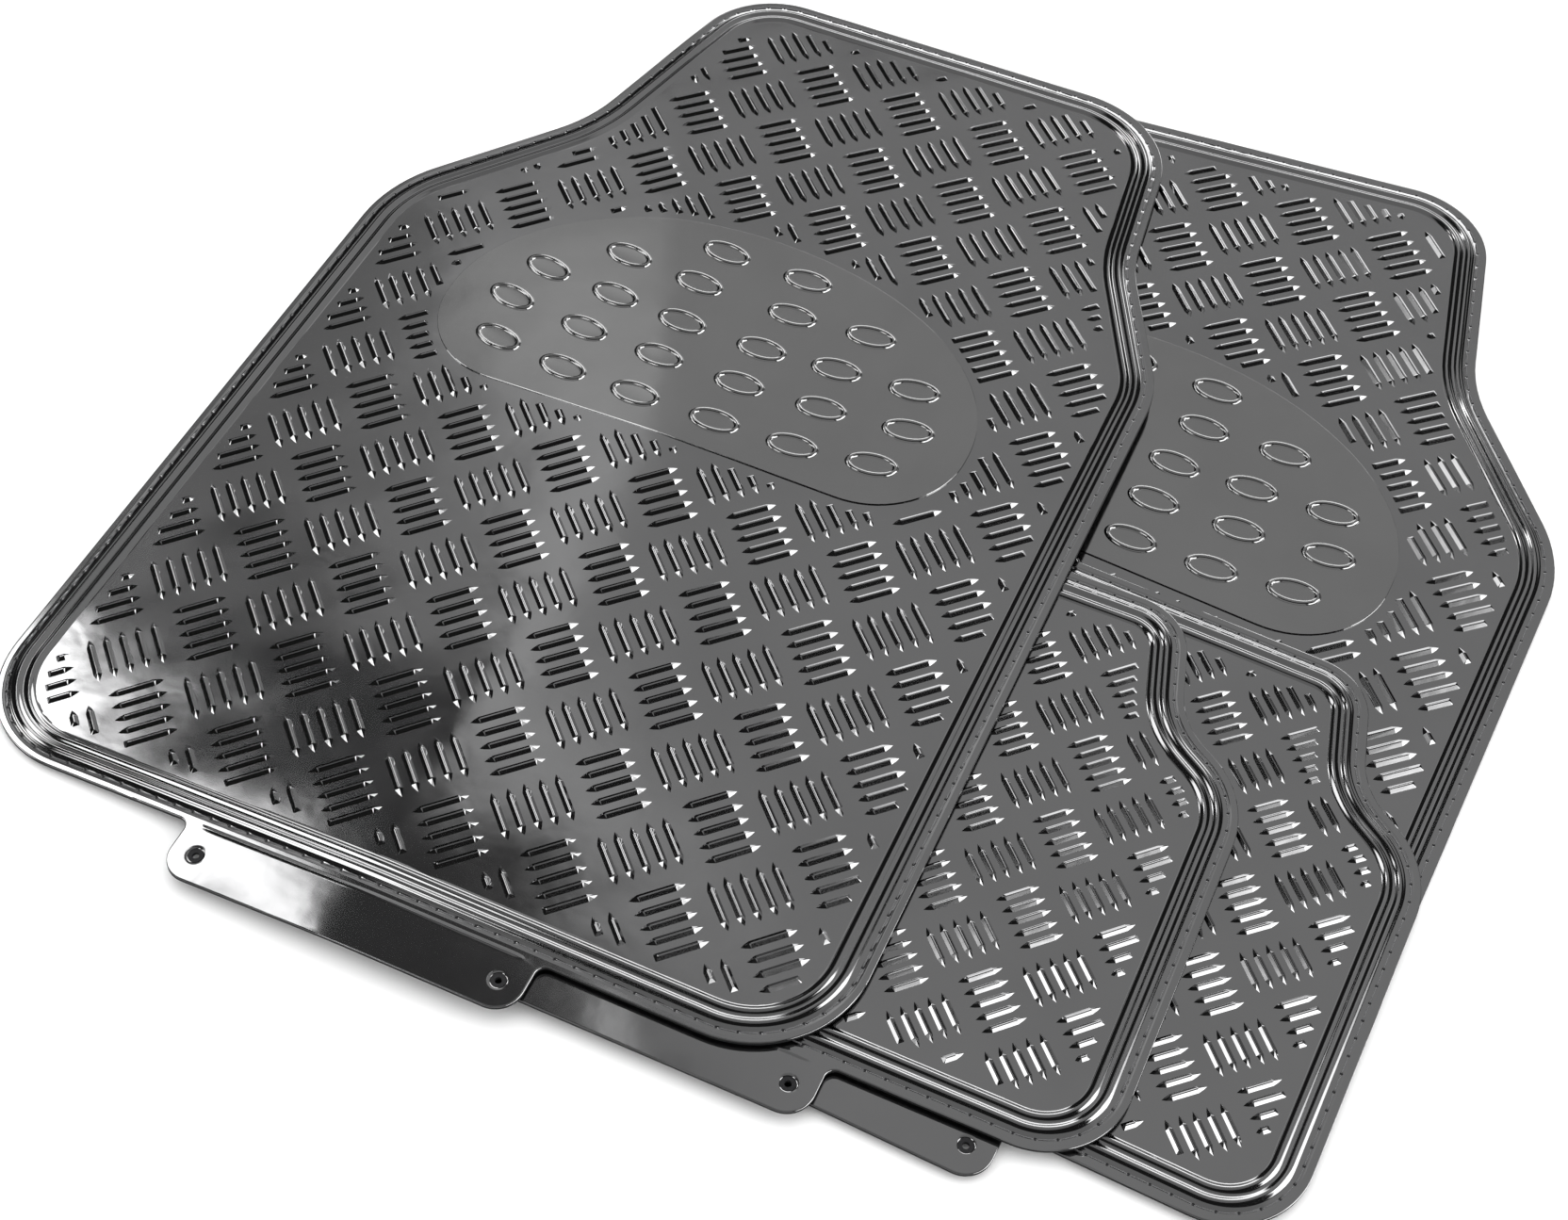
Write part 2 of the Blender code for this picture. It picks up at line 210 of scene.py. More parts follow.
def to_mat(mat, x, y):
    """Plan coordinates to the mat's own."""
    (origin_x, origin_y), turn = PLACES[mat]
    dx, dy = x - origin_x, y - origin_y
    cos, sin = math.cos(turn), math.sin(turn)
    return (cos * dx + sin * dy, -sin * dx + cos * dy)


# Slow waves of the thin film: (wavelength, size) in mm.
RIPPLES = ((150, 0.11), (95, 0.075), (63, 0.045), (41, 0.026), (27, 0.012))


def ripple(mat, points):
    x, y = points[:, 0], points[:, 1]
    rng = np.random.default_rng(11 + MATS.index(mat))
    out = np.zeros_like(x)
    for length, size in RIPPLES:
        for _ in range(3):
            heading, phase = rng.uniform(0, math.pi), rng.uniform(0, 2 * math.pi)
            rate = 2 * math.pi / (length * MM * rng.uniform(0.85, 1.15))
            travel = x * math.cos(heading) + y * math.sin(heading)
            out += size * MM * 0.55 * np.sin(rate * travel + phase)
    return out


# ------------------------------------------------------------------ mesh tools
def inside(points, loop):
    """Which points lie in the closed loop."""
    a, b = loop, np.roll(loop, -1, 0)
    rise = np.where(b[:, 1] == a[:, 1], 1e-12, b[:, 1] - a[:, 1])
    slope = (b[:, 0] - a[:, 0]) / rise
    result = np.zeros(len(points), bool)
    for k in range(0, len(points), 4000):
        p = points[k : k + 4000]
        spans = (a[None, :, 1] > p[:, None, 1]) != (b[None, :, 1] > p[:, None, 1])
        cross = a[None, :, 0] + (p[:, None, 1] - a[None, :, 1]) * slope[None, :]
        result[k : k + 4000] = (spans & (p[:, None, 0] < cross)).sum(1) % 2 == 1
    return result


def far_from(points, reach, starts, ends=None):
    """Which points keep more than reach from every start, or every segment start to end."""
    starts = np.asarray(starts)
    span = np.zeros_like(starts) if ends is None else ends - starts
    squared = np.maximum((span**2).sum(1), 1e-12)
    result = np.ones(len(points), bool)
    for k in range(0, len(points), 2000):
        p = points[k : k + 2000]
        share = np.clip(((p[:, None] - starts[None]) * span[None]).sum(2) / squared, 0, 1)
        nearest = starts[None] + share[..., None] * span[None]
        result[k : k + 2000] = (((p[:, None] - nearest) ** 2).sum(2) > reach**2).all(1)
    return result


def circle(x, y, radius, sides, phase=0.3):
    a = 2 * math.pi * (np.arange(sides) + phase) / sides
    return np.c_[x + radius * np.cos(a), y + radius * np.sin(a)]


def spread(box, pitch, within):
    """Staggered grid over the bounds of box, kept to the loop within."""
    lo, hi = box.min(0), box.max(0)
    xs = np.arange(lo[0], hi[0], pitch)
    rows = []
    for j, y in enumerate(np.arange(lo[1], hi[1], pitch * 0.87)):
        rows.append(np.c_[xs + (pitch / 2 if j % 2 else 0), np.full(len(xs), y)])
    points = np.concatenate(rows)
    return points[inside(points, within)]


def raised(loop, z):
    """Loop in 3D. z is one height or one per point."""
    return np.c_[loop, np.full(len(loop), z)]


class Surface:
    """Points with heights, joined by a constrained triangulation."""

    def __init__(self):
        self.xy, self.z, self.edges = [], [], []

    def dots(self, points, z):
        for k, p in enumerate(points):
            self.xy.append((float(p[0]), float(p[1])))
            self.z.append(float(z[k]) if np.ndim(z) else float(z))

    def loop(self, points, z, closed=True):
        first, count = len(self.xy), len(points)
        self.dots(points, z)
        last = count if closed else count - 1
        self.edges += [(first + k, first + (k + 1) % count) for k in range(last)]

    def solve(self, outer, openings=()):
        """(points, triangles) inside outer and outside the openings."""
        corners = [Vector(p) for p in self.xy]
        verts, _, faces, origin, _, _ = delaunay_2d_cdt(corners, self.edges, [], 0, 1e-7, True)
        points = np.array([tuple(v) for v in verts])
        z = np.array([self.z[o[0]] if o else np.nan for o in origin])
        tris = np.array([tuple(f) for f in faces])
        # Points that the triangulation adds where edges cross have no height of their own.
        z = np.where(np.isnan(z), np.nanmedian(z), z)
        middles = points[tris].mean(1)
        keep = inside(middles, outer)
        for opening in openings:
            keep &= ~inside(middles, opening)
        tris = tris[keep]
        a, b, c = (points[tris[:, i]] for i in range(3))
        area = np.cross(b - a, c - a)
        tris = np.where((area < 0)[:, None], tris[:, ::-1], tris)
        return np.c_[points, z], tris[np.abs(area) > 1e-14]


class Solid:
    """A mesh put together from pieces, then welded."""

    def __init__(self):
        self.points, self.faces, self.crisp, self.count = [], [], [], 0

    def add(self, points, faces, flip=False, crisp=None):
        """crisp gives the tilt in degrees from which a face is flat shaded."""
        points, faces = np.asarray(points, float), np.asarray(faces, int)
        if flip:
            faces = faces[:, ::-1]
        hard = np.zeros(len(faces), bool)
        if crisp:
            a, b, c = (points[faces[:, i]] for i in range(3))
            normal = np.cross(b - a, c - a)
            length = np.sqrt((normal**2).sum(1))
            hard = np.abs(normal[:, 2]) < math.cos(math.radians(crisp)) * length
        self.points.append(points)
        self.faces.append(faces + self.count)
        self.crisp.append(hard)
        self.count += len(points)

    def loft(self, rings, crisp=None):
        """Quads between equal closed 3D loops. Faces look to the right of their direction."""
        for low, high in zip(rings, rings[1:]):
            count = len(low)
            k = np.arange(count)
            after = (k + 1) % count
            self.add(np.r_[low, high], np.c_[k, after, after + count, k + count], crisp=crisp)

    def obj(self, name, mat, sharp=34.0):
        points = place(mat, np.concatenate(self.points))
        cells = np.round(points / 2e-6).astype(np.int64)
        _, index, back = np.unique(cells, axis=0, return_index=True, return_inverse=True)
        back = back.reshape(-1)
        faces, smooth = [], []
        for block, hard in zip(self.faces, self.crisp):
            for row, is_flat in zip(back[block].tolist(), hard.tolist()):
                clean = [a for i, a in enumerate(row) if a != row[i - 1]]
                if len(set(clean)) == len(clean) and len(clean) > 2:
                    faces.append(clean)
                    smooth.append(not is_flat)
        mesh = bpy.data.meshes.new(name)
        mesh.from_pydata(points[index].tolist(), [], faces)
        # The face flags are set again after the edges are marked, in case that resets them.
        mesh.polygons.foreach_set("use_smooth", np.array(smooth))
        mesh.set_sharp_from_angle(angle=math.radians(sharp))
        mesh.polygons.foreach_set("use_smooth", np.array(smooth))
        mesh.validate()
        return link(name, mesh)


def link(name, data):
    made = bpy.data.objects.new(name, data)
    bpy.context.scene.collection.objects.link(made)
    return made


def plain_sheet(edge, openings, z, tabbed, keep_clear):
    """Level sheet with openings. keep_clear holds (spots, reach) that inner points avoid."""
    sheet = Surface()
    for loop in [edge] + openings:
        sheet.loop(loop, z)
    points = spread(edge, 14 * MM, outline(tabbed, 4 * MM))
    for spots, reach in keep_clear:
        points = points[far_from(points, reach, spots)]
    sheet.dots(points, z)
    return sheet.solve(edge, openings)


# ------------------------------------------------------------------ tread bars
# Groups of five parallel bars on a checkerboard of the given pitch, turned in alternate columns.
# The anchor is one group centre, in mat coordinates, whose bars run along (1, -1).
Tread = namedtuple("Tread", "anchor pitch length spacing width height")
FRONT_BARS = (27.08 * MM, 26.6 * MM, 7.66 * MM, 4.0 * MM, 1.42 * MM)
REAR_TREAD = Tread((162.3 * MM, 127.5 * MM), 22.75 * MM, 21.2 * MM, 6.44 * MM, 3.4 * MM, 1.16 * MM)
TREADS = {
    "front_left": Tread((-114.4 * MM, 69.9 * MM), *FRONT_BARS),
    "front_right": Tread(to_mat("front_right", 273.8 * MM, 524.7 * MM), *FRONT_BARS),
    "rear_left": REAR_TREAD,
    "rear_right": REAR_TREAD,
}
TREAD_INSET = 22.3 * MM
PAD_CLEARANCE = 4.6 * MM
BAR_SAMPLE = 0.2 * MM
SHORTEST_BAR = 4.2 * MM
BAR_SLOPE = math.tan(math.radians(40))
# Share of the height that the straight sides reach, below the rounded ridge.
SIDE_SHARE = 0.93

# start and end are distances from middle along the bar. A cut end is blunt, others are pointed.
Bar = namedtuple("Bar", "middle along start end start_cut end_cut")


def tread_bars(mat):
    tread = TREADS[mat]
    allowed = outline(CORNERS[mat], TREAD_INSET)
    pad = pad_outline(PAD_CLEARANCE) if mat.startswith("front") else None
    lo = np.floor((allowed.min(0) - tread.anchor) / tread.pitch).astype(int) - 1
    hi = np.ceil((allowed.max(0) - tread.anchor) / tread.pitch).astype(int) + 1
    samples = np.arange(-tread.length / 2, tread.length / 2 + 1e-9, BAR_SAMPLE)
    bars = []
    for column in range(lo[0], hi[0] + 1):
        for row in range(lo[1], hi[1] + 1):
            if (column - row) % 2:
                continue
            centre = np.array(
                (tread.anchor[0] + tread.pitch * column, tread.anchor[1] + tread.pitch * row)
            )
            along = np.array((DIAGONAL, DIAGONAL if column % 2 else -DIAGONAL))
            across = np.array((-along[1], along[0]))
            for k in range(-2, 3):
                middle = centre + across * (tread.spacing * k)
                line = middle + samples[:, None] * along
                free = np.ones(len(samples), bool)
                for side in (-0.5, 0.5):
                    probe = line + across * (side * tread.width * 0.8)
                    free &= inside(probe, allowed)
                    if pad is not None:
                        free &= ~inside(probe, pad)
                changes = np.flatnonzero(np.diff(np.r_[0, free, 0]))
                for a, b in zip(changes[::2], changes[1::2] - 1):
                    start, end = samples[a], samples[b]
                    if end - start >= SHORTEST_BAR:
                        bars.append(Bar(middle, along, start, end, a > 0, b < len(samples) - 1))
    return bars


def add_bar(surface, bar, width, height, base):
    """Contours of one bar. base gives the film's height under points."""
    across = np.array((-bar.along[1], bar.along[0]))
    hip = min(4.6 * MM, (bar.end - bar.start) * 0.42)
    half = width / 2
    neck = half - SIDE_SHARE * height / BAR_SLOPE
    crest = neck * 0.42
    ends = ((bar.end, 1, bar.end_cut), (bar.start, -1, bar.start_cut))
    # Share of the height, rows of a pointed end, rows of a cut end.
    # A row is (distance from the tip, half width), tip first.
    levels = (
        (0.0, [(0, 0), (hip * 0.42, half * 0.52), (hip, half)], [(0, half * 0.82), (0.5 * MM, half)]),
        (SIDE_SHARE, [(hip * 0.86, 0), (hip * 1.02, neck)], [(1.5 * MM, neck)]),
        (1.0, [(hip, 0), (hip * 1.1, crest)], [(1.75 * MM, crest)]),
    )
    for share, pointed, blunt in levels:
        contour = []
        for tip, sign, cut in ends:
            side = [(tip - sign * back, sign * w) for back, w in (blunt if cut else pointed)]
            contour += [(t, -w) for t, w in reversed(side)] + [(t, w) for t, w in side if w]
        points = np.array([bar.middle + bar.along * t + across * w for t, w in contour])
        surface.loop(points, height * share + base(points))
    # The crease of each pointed end.
    for tip, sign, cut in reversed(ends):
        if not cut:
            reach = (tip, tip - sign * hip * 0.86)
            crease = np.array([bar.middle + bar.along * t for t in reach])
            heights = np.array([0.0, SIDE_SHARE * height]) + base(crease)
            surface.loop(crease, heights, closed=False)


# ------------------------------------------------------------------ seam line
class Seam:
    """The line of needle holes round a mat."""

    def __init__(self, corners):
        line = outline(corners, SEAM_INSET, math.radians(2.5), 4 * MM)
        self.line = np.r_[line, line[:1]]
        self.run = np.r_[0, np.cumsum(np.hypot(*(self.line[1:] - self.line[:-1]).T))]
        self.length = self.run[-1]
        self.count = round(self.length / STITCH_PITCH)

    def at(self, distance):
        distance = np.mod(distance, self.length)
        return np.c_[[np.interp(distance, self.run, self.line[:, i]) for i in (0, 1)]].T

    def needle_holes(self):
        return self.at(np.arange(self.count) * self.length / self.count)


# ------------------------------------------------------------------ film of one mat
# The border and flange take only this share of the film's ripple.
CALM = 0.35
# Two round beads side by side, from this inset on (mm).
BEAD_INSET, BEAD_WIDTH = 6.6, 5.9
RIPPLE_FADE = 12
# Pressed features, in mm: (inset, height) of the channel under the seam,
SEAM_CHANNEL = ((2.6, 0.0), (3.3, 0.0), (3.7, -0.14), (5.9, -0.14), (6.25, 0.0))
# (distance from the hole's edge, height) of the lip of each flange hole,
HOLE_LIP_DROP = -0.28
HOLE_LIP = ((0.0, HOLE_LIP_DROP), (0.3, -0.08), (0.8, 0.0), (1.8, 0.0))
# (y, height) of the ridge across the flange, in line with the mat's edge,
FLANGE_RIDGE = ((-2.4, 0.0), (-1.5, 0.0), (-1.0, 0.1), (-0.45, 0.14), (0.1, 0.0), (1.0, 0.0))
RIDGE_HALF, RIDGE_FADE = 82 * MM, 6 * MM
# and (radius, height) of the dimple of each needle hole. The last ring is the hole itself.
NEEDLE_DROP = -0.19
NEEDLE_DIMPLE = ((0.95, -0.13), (0.74, NEEDLE_DROP))


def bead_height(inset):
    """Height in mm, with a raised valley between the beads."""
    u = (inset - BEAD_INSET) / BEAD_WIDTH
    valley = 0.22 * math.sin(math.pi * u / 2) ** 2
    return valley + 0.575 * (1 - math.cos(2 * math.pi * u))


BEAD_INSETS = [BEAD_INSET + 2 * BEAD_WIDTH * k / 24 for k in range(25)]


def border_height(mat, points, offset=0.0):
    return FILM_TOP + offset + CALM * ripple(mat, points)


def add_border(solid, mat, brow, spots):
    """Border band and flange, out to the rolled edge. Returns the flange and needle holes."""
    corners = CORNERS[mat]
    tabbed = with_flange(corners)
    band = Surface()

    def press(loop, offset=0.0, closed=True):
        band.loop(loop, border_height(mat, loop, offset), closed)

    foot = outline(corners, BEAD_INSET * MM)
    for loop in (brow, outline(tabbed, 0.75 * MM), foot):
        press(loop)
    for inset, height in SEAM_CHANNEL:
        press(outline(corners, inset * MM), height * MM)
    for x, y in HOLES:
        for grow, height in HOLE_LIP:
            press(circle(x, y, HOLE_RADIUS + grow * MM, 32), height * MM)
    xs = np.linspace(-RIDGE_HALF, RIDGE_HALF, 84)
    fade = np.clip((RIDGE_HALF - np.abs(xs)) / RIDGE_FADE, 0, 1)
    for y, height in FLANGE_RIDGE:
        press(raised(xs, y * MM), height * MM * fade, closed=False)
    flange_box = np.array([(-86 * MM, -26 * MM), (86 * MM, -4.5 * MM)])
    points = spread(flange_box, 6 * MM, outline(tabbed, 2 * MM))
    points = points[far_from(points, 7 * MM, HOLES)]
    band.dots(points, border_height(mat, points))
    punctures = []
    for x, y in spots:
        for radius, height in NEEDLE_DIMPLE:
            ring = circle(x, y, radius * MM, 8)
            press(ring, height * MM)
        punctures.append(ring)
    holes = [circle(x, y, HOLE_RADIUS, 32) for x, y in HOLES]
    solid.add(*band.solve(brow, [foot] + holes + punctures))
    return holes, punctures


def add_beads(solid, mat):
    rings = []
    for inset in BEAD_INSETS:
        ring = outline(CORNERS[mat], inset * MM)
        share = CALM + (1 - CALM) * np.clip((inset - BEAD_INSET) / RIPPLE_FADE, 0, 1)
        rings.append(raised(ring, FILM_TOP + bead_height(inset) * MM + share * ripple(mat, ring)))
    solid.loft(rings)


def add_tread(solid, mat):
    corners = CORNERS[mat]

    def base(points):
        return FILM_TOP + ripple(mat, points)

    field = Surface()
    rim = outline(corners, BEAD_INSETS[-1] * MM)
    for loop in (rim, outline(corners, 19.1 * MM)):
        field.loop(loop, base(loop))
    bars = tread_bars(mat)
    for bar in bars:
        add_bar(field, bar, TREADS[mat].width, TREADS[mat].height, base)
    starts = np.array([bar.middle + bar.along * bar.start for bar in bars])
    ends = np.array([bar.middle + bar.along * bar.end for bar in bars])
    points = spread(rim, 7.5 * MM, outline(corners, 20.5 * MM))
    points = points[far_from(points, 3.2 * MM, starts, ends)]
    field.dots(points, base(points))
    solid.add(*field.solve(rim), crisp=6)


def build_film(mat):
    tabbed = with_flange(CORNERS[mat])
    edge, shoulder, brow = (outline(tabbed, inset * MM) for inset in (0.0, 0.12, 0.34))
    spots = Seam(CORNERS[mat]).needle_holes()
    solid = Solid()
    holes, punctures = add_border(solid, mat, brow, spots)
    add_beads(solid, mat)
    add_tread(solid, mat)

    # Rolled edge, hole walls and underside.
    solid.loft([
        raised(edge, FILM_LOW),
        raised(edge, FILM_TOP - 0.2 * MM),
        raised(shoulder, FILM_TOP - 0.07 * MM),
        raised(brow, border_height(mat, brow)),
    ])
    for openings, drop in ((holes, HOLE_LIP_DROP), (punctures, NEEDLE_DROP)):
        for opening in openings:
            ring = opening[::-1]
            top = border_height(mat, ring, drop * MM)
            solid.loft([raised(ring, FILM_LOW), raised(ring, top)])
    keep_clear = ((HOLES, 6 * MM), (spots, 2 * MM))
    solid.add(*plain_sheet(edge, holes + punctures, FILM_LOW, tabbed, keep_clear), flip=True)
    return solid.obj(mat + "_embossed_film", mat)


# ------------------------------------------------------------------ heel pad
PAD_LOW, PAD_TOP = 2.2 * MM, 3.0 * MM
# Centres and tilts of the rings on the right half, mirrored on the left: x, y (mm), degrees.
PAD_RINGS = (
    (23.9375, 431.35375, 2.5),
    (27.28875, 403.58625, 2.85), (70.855, 407.41625, 7.4),
    (22.98, 373.425, 2.4), (64.1525, 377.255, 6.7), (106.2825, 381.56375, 11.1),
    (22.98, 345.6575, 2.4), (67.9825, 348.53, 7.1), (113.9425, 354.275, 11.9),
    (22.50125, 316.45375, 2.35), (65.11, 318.36875, 6.8), (106.2825, 324.5925, 11.1),
)
RING_HALF_X, RING_HALF_Y = 13.9, 8.0
# Cross section of a ring: growth from its outer ellipse, and height (mm).
RING_PROFILE = (
    (0.8, 0.0), (0.0, 0.0), (-0.22, 0.42), (-0.58, 0.8), (-1.05, 1.04), (-1.6, 1.12),
    (-2.15, 1.04), (-2.62, 0.8), (-2.98, 0.42), (-3.2, 0.0), (-4.0, -0.03),
)


def build_pad(mat):
    solid = Solid()
    rings = []
    for grow, z in ((0.0, PAD_LOW), (0.0, 2.88 * MM), (-0.16 * MM, PAD_TOP)):
        loop = pad_outline(grow)
        rings.append(raised(loop, z + ripple(mat, loop)))
    solid.loft(rings, crisp=1)

    face = Surface()
    brow = pad_outline(-0.16 * MM)
    for loop in (brow, pad_outline(-0.9 * MM)):
        face.loop(loop, PAD_TOP + ripple(mat, loop))
    centres = []
    a = 2 * math.pi * (np.arange(40) + 0.37) / 40
    for ring_x, ring_y, degrees in PAD_RINGS:
        for side in (-1, 1):
            x, y = side * ring_x * MM, ring_y * MM
            tilt = math.radians(side * degrees)
            cos, sin = math.cos(tilt), math.sin(tilt)
            centres.append((x, y))
            for grow, height in RING_PROFILE:
                along = (RING_HALF_X + grow) * MM * np.cos(a)
                across = (RING_HALF_Y + grow) * MM * np.sin(a)
                ring = np.c_[x + along * cos - across * sin, y + along * sin + across * cos]
                face.loop(ring, PAD_TOP + height * MM + ripple(mat, ring))
    centres, reach = np.array(centres), np.array((6 * MM, 0))
    points = spread(brow, 8 * MM, pad_outline(-4 * MM))
    points = points[far_from(points, 10.5 * MM, centres - reach, centres + reach)]
    face.dots(points, PAD_TOP + ripple(mat, points))
    solid.add(*face.solve(brow))

    under = Surface()
    base = pad_outline()
    under.loop(base, PAD_LOW + ripple(mat, base))
    points = spread(base, 12 * MM, pad_outline(-5 * MM))
    under.dots(points, PAD_LOW + ripple(mat, points))
    solid.add(*under.solve(base), flip=True)
    return solid.obj(mat + "_ringed_heel_pad", mat)


# ------------------------------------------------------------------ backing
# All (inset, height) in mm: the side wall, then the groove and the step of the underside.
BACKING_TOP, BACKING_FIELD = 1.8, 0.6
SOLE_INSET, LID_INSET = 0.42, 0.1
BACKING_WALL = (
    (SOLE_INSET, 0.0), (0.16, 0.1), (0.02, 0.32), (0.0, 0.6), (0.0, 1.5), (LID_INSET, BACKING_TOP),
)
UNDER_STEPS = ((3.9, 0.0), (4.1, 0.7), (5.5, 0.7), (5.7, 0.0), (8.6, 0.0), (9.3, BACKING_FIELD))
NUB_PITCH = 11 * MM
NUB_RINGS = ((1.5, BACKING_FIELD), (0.8, 0.16))  # (radius, height) in mm


def build_backing(mat):
    corners = CORNERS[mat]
    tabbed = with_flange(corners)
    solid = Solid()
    top = BACKING_TOP * MM
    solid.loft([raised(outline(tabbed, inset * MM), z * MM) for inset, z in BACKING_WALL])
    # Smaller than the film's openings, so that a black lip shows in them.
    holes = [circle(x, y, HOLE_RADIUS - 2.0 * MM, 32) for x, y in HOLES]
    for hole in holes:
        ring = hole[::-1]
        solid.loft([raised(ring, 0.0), raised(ring, top)])
    lid = outline(tabbed, LID_INSET * MM)
    solid.add(*plain_sheet(lid, holes, top, tabbed, ((HOLES, 6 * MM),)))

    under = Surface()
    sole = outline(tabbed, SOLE_INSET * MM)
    for loop in [sole] + holes:
        under.loop(loop, 0.0)
    for inset, z in UNDER_STEPS:
        under.loop(outline(corners, inset * MM), z * MM)
    inner = outline(corners, 12.5 * MM)
    for x, y in spread(inner, NUB_PITCH, inner):
        for radius, z in NUB_RINGS:
            under.loop(circle(x, y, radius * MM, 6, 0.13), z * MM)
        under.dots([(x, y)], 0.0)
    solid.add(*under.solve(sole, holes), flip=True)
    return solid.obj(mat + "_nubbed_backing", mat, sharp=40)


# ------------------------------------------------------------------ stitches
def build_stitches(mat, name, level, bow, radius, share):
    """One thread arch per stitch, from one needle hole to the next. share is its part of it."""
    seam = Seam(CORNERS[mat])
    step = seam.length / seam.count
    solid = Solid()
    rows, sides = 9, 6
    t = np.linspace(*share, rows)
    rise = np.clip(np.minimum(t - share[0], share[1] - t) / 0.1, 0, 1)
    rise = rise * rise * (3 - 2 * rise)
    z = level + bow * rise
    thick = radius * (0.75 + 0.25 * rise)
    faces = [
        (i * sides + j, i * sides + after, (i + 1) * sides + after, (i + 1) * sides + j)
        for i in range(rows - 1)
        for j, after in ((j, (j + 1) % sides) for j in range(sides))
    ]
    for k in range(seam.count):
        line = seam.at((k + t) * step)
        ahead = seam.at((k + t) * step + 0.2 * MM) - line
        ahead /= np.hypot(*ahead.T)[:, None]
        aside = np.c_[-ahead[:, 1], ahead[:, 0]]
        verts = []
        for i in range(rows):
            for j in range(sides):
                a = 2 * math.pi * (j + 0.5) / sides
                spot = line[i] + aside[i] * (thick[i] * math.cos(a))
                verts.append((*spot, z[i] + thick[i] * math.sin(a)))
        solid.add(verts, faces, flip=True)
        solid.add(verts[:sides], [list(range(sides))])
        solid.add(verts[-sides:], [list(range(sides))[::-1]])
    return solid.obj(mat + name, mat, sharp=60)


# ------------------------------------------------------------------ materials
def node(tree, kind, **settings):
    """New node. Settings are input values or node properties."""
    made = tree.nodes.new(kind)
    for key, value in settings.items():
        if key in made.inputs:
            made.inputs[key].default_value = value
        else:
            setattr(made, key, value)
    return made


def new_material(name):
    material = bpy.data.materials.new(name)
    material.use_nodes = True
    tree = material.node_tree
    return material, tree, tree.nodes["Principled BSDF"]


def object_coords(tree):
    return node(tree, "ShaderNodeTexCoord").outputs["Object"]


def noise(tree, coords, scale, detail=3.0, rough=0.5, distortion=0.0):
    made = node(tree, "ShaderNodeTexNoise", Scale=scale, Detail=detail, Roughness=rough,
                Distortion=distortion)
    tree.links.new(coords, made.inputs["Vector"])
    return made.outputs["Fac"]


def remap(tree, value, source, target):
    made = node(tree, "ShaderNodeMapRange")
    for key, number in zip(("From Min", "From Max", "To Min", "To Max"), (*source, *target)):
        made.inputs[key].default_value = number
    tree.links.new(value, made.inputs["Value"])
    return made.outputs["Result"]


def ramp_colour(tree, value, stops):
    made = node(tree, "ShaderNodeValToRGB")
    ramp = made.color_ramp
    while len(ramp.elements) < len(stops):
        ramp.elements.new(0.5)
    for element, (at, colour) in zip(ramp.elements, stops):
        element.position = at
        element.color = (*colour, 1)
    tree.links.new(value, made.inputs["Fac"])
    return made.outputs["Color"]


def bump(tree, value, strength, distance, normal=None):
    made = node(tree, "ShaderNodeBump", Strength=strength, Distance=distance)
    tree.links.new(value, made.inputs["Height"])
    if normal:
        tree.links.new(normal, made.inputs["Normal"])
    return made.outputs["Normal"]


def film_material(name, tint, rough, grain):
    """Mirror film with a faint cloudy tint. grain is the strength of its slow waviness."""
    material, tree, shader = new_material(name)
    coords = object_coords(tree)
    cloud = noise(tree, coords, scale=9.0, detail=4.0, rough=0.6)
    dark = tuple(c * 0.93 for c in tint)
    light = tuple(min(1, c * 1.05) for c in tint)
    colour = ramp_colour(tree, cloud, [(0.3, dark), (0.55, tint), (0.8, light)])
    tree.links.new(colour, shader.inputs["Base Color"])
    shader.inputs["Metallic"].default_value = 1.0
    smear = noise(tree, coords, scale=34.0, detail=5.0, rough=0.62)
    roughness = remap(tree, smear, source=(0.3, 0.75), target=(rough * 0.85, rough * 1.25))
    tree.links.new(roughness, shader.inputs["Roughness"])
    slow = noise(tree, coords, scale=42.0, detail=2.0, distortion=0.3)
    waves = bump(tree, slow, strength=grain, distance=0.0006)
    fine = noise(tree, coords, scale=700.0, detail=2.0)
    normal = bump(tree, fine, strength=0.02, distance=0.00006, normal=waves)
    tree.links.new(normal, shader.inputs["Normal"])
    shader.inputs["Coat Weight"].default_value = 0.15
    shader.inputs["Coat Roughness"].default_value = 0.05
    return material


def backing_material():
    material, tree, shader = new_material("moulded_black_backing")
    coords = object_coords(tree)
    patch = noise(tree, coords, scale=30.0, detail=5.0, rough=0.6)
    stops = [(0.25, (0.008, 0.008, 0.009)), (0.6, (0.014, 0.014, 0.015)), (0.85, (0.024, 0.024, 0.025))]
    tree.links.new(ramp_colour(tree, patch, stops), shader.inputs["Base Color"])
    roughness = remap(tree, patch, source=(0.3, 0.7), target=(0.5, 0.72))
    tree.links.new(roughness, shader.inputs["Roughness"])
    leather = node(tree, "ShaderNodeTexVoronoi", Scale=900.0)
    tree.links.new(coords, leather.inputs["Vector"])
    grain = bump(tree, leather.outputs["Distance"], strength=0.35, distance=0.0002)
    fine = noise(tree, coords, scale=1600.0)
    normal = bump(tree, fine, strength=0.25, distance=0.0001, normal=grain)
    tree.links.new(normal, shader.inputs["Normal"])
    return material


